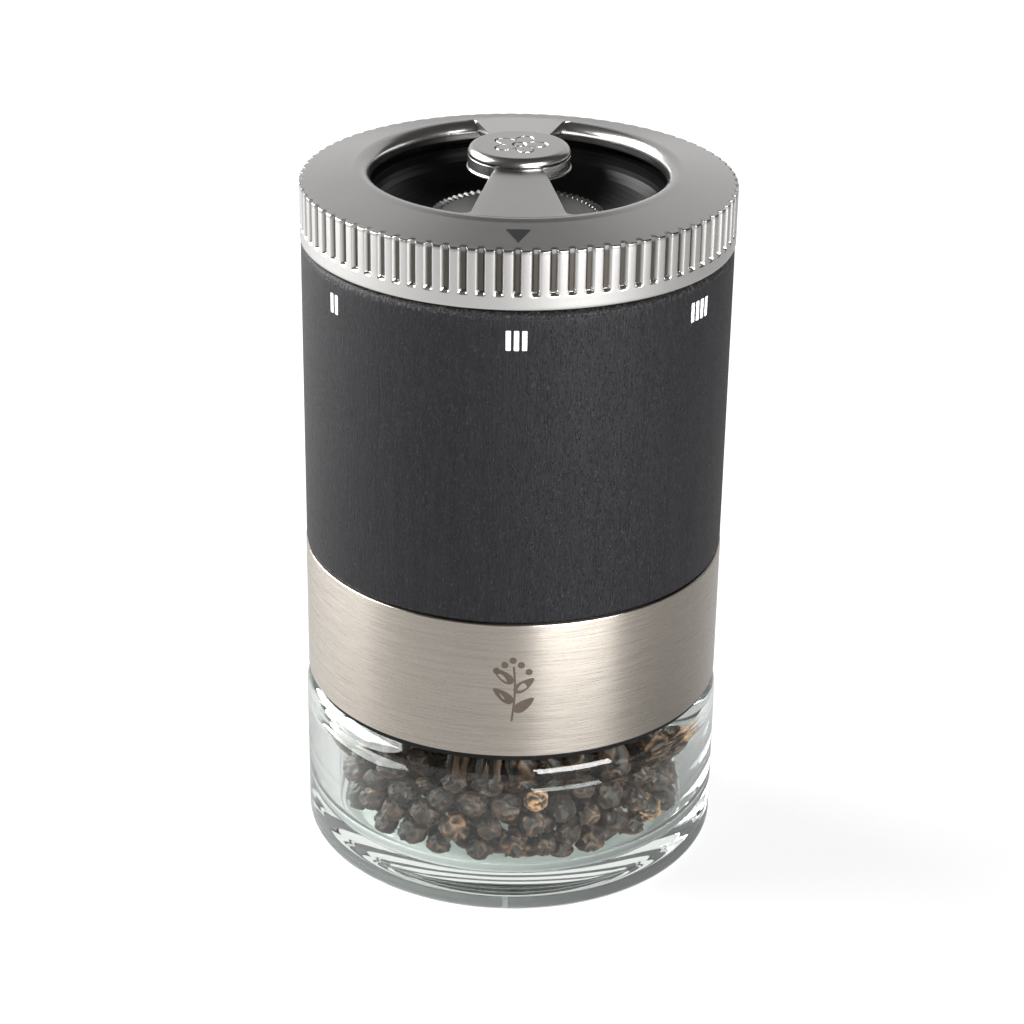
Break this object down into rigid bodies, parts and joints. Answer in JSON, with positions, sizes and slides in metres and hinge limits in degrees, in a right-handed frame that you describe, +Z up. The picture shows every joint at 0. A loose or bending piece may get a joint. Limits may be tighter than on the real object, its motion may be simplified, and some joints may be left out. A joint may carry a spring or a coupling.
{
  "type": "pepper mill",
  "caption": "Upright pepper mill with a screw-in glass jar, a steel band that drives the grinder, a dark wooden grip and a ribbed setting ring with a bridge across its outlet.",
  "frame": {"origin": "centre of the circle that the jar stands on", "axes": "+Z up along the mill, -Y towards the setting mark under the pointer"},
  "size_m": [0.0666, 0.0666, 0.1147],
  "materials": {
    "black_wood": "satin",
    "black_plastic": "satin",
    "white_plastic": "matte",
    "satin_metal": "satin",
    "spring_steel": "bright",
    "brushed_band": "brushed round the axis",
    "tool_steel": "machined",
    "brass": "satin",
    "rubber": "matte",
    "clear_glass": "polished",
    "pepper": "wrinkled and matte"
  },
  "bodies": {
    "casing": {"wood_grip": "black_wood", "grip_liner": "black_plastic", "liner_screws": "spring_steel", "glide_ring": "white_plastic", "click_spring": "spring_steel"},
    "select_ring": {"setting_ring": "satin_metal", "thread_insert": "black_plastic", "ring_clip": "spring_steel", "hub_cap": "satin_metal", "hub_bush": "brass"},
    "stator": {"outlet_bowl": "black_plastic", "stator_ring": "tool_steel", "stator_clip": "spring_steel"},
    "drive": {"steel_band": "brushed_band", "jar_socket": "black_plastic", "journal_clip": "spring_steel", "drive_spider": "black_plastic", "spindle": "tool_steel", "spindle_clip": "spring_steel", "preload_spring": "spring_steel", "spring_seat": "spring_steel", "spring_clip": "spring_steel", "rotor": "tool_steel", "rotor_nut": "tool_steel", "thrust_washer": "brass"},
    "gasket": {"jar_gasket": "rubber"},
    "jar": {"glass_jar": "clear_glass", "peppercorns": "pepper"}
  },
  "joints": [
    {"name": "grind_select", "type": "hinge", "parent": "casing", "child": "select_ring", "pos_m": [0, 0, 0.1], "axis": [0, 0, 1], "range_deg": [-108, 162], "deforming": ["click_spring"]},
    {"name": "stator_lift", "type": "slide", "parent": "casing", "child": "stator", "axis": [0, 0, 1], "range_m": [-0.00092, 0.00062]},
    {"name": "grind", "type": "hinge", "parent": "casing", "child": "drive", "pos_m": [0, 0, 0.05], "axis": [0, 0, 1], "continuous": true},
    {"name": "jar_drop", "type": "slide", "parent": "drive", "child": "gasket", "axis": [0, 0, 1], "range_m": [-0.00702, 0]},
    {"name": "jar_unscrew", "type": "hinge", "parent": "gasket", "child": "jar", "pos_m": [0, 0, 0.03], "axis": [0, 0, 1], "range_deg": [-630, 0]}
  ],
  "couplings": [
    {"joint": "stator_lift", "follows": "grind_select", "m_per_rad": -0.00031831},
    {"joint": "jar_drop", "follows": "jar_unscrew", "m_per_rad": 0.00063662}
  ]
}
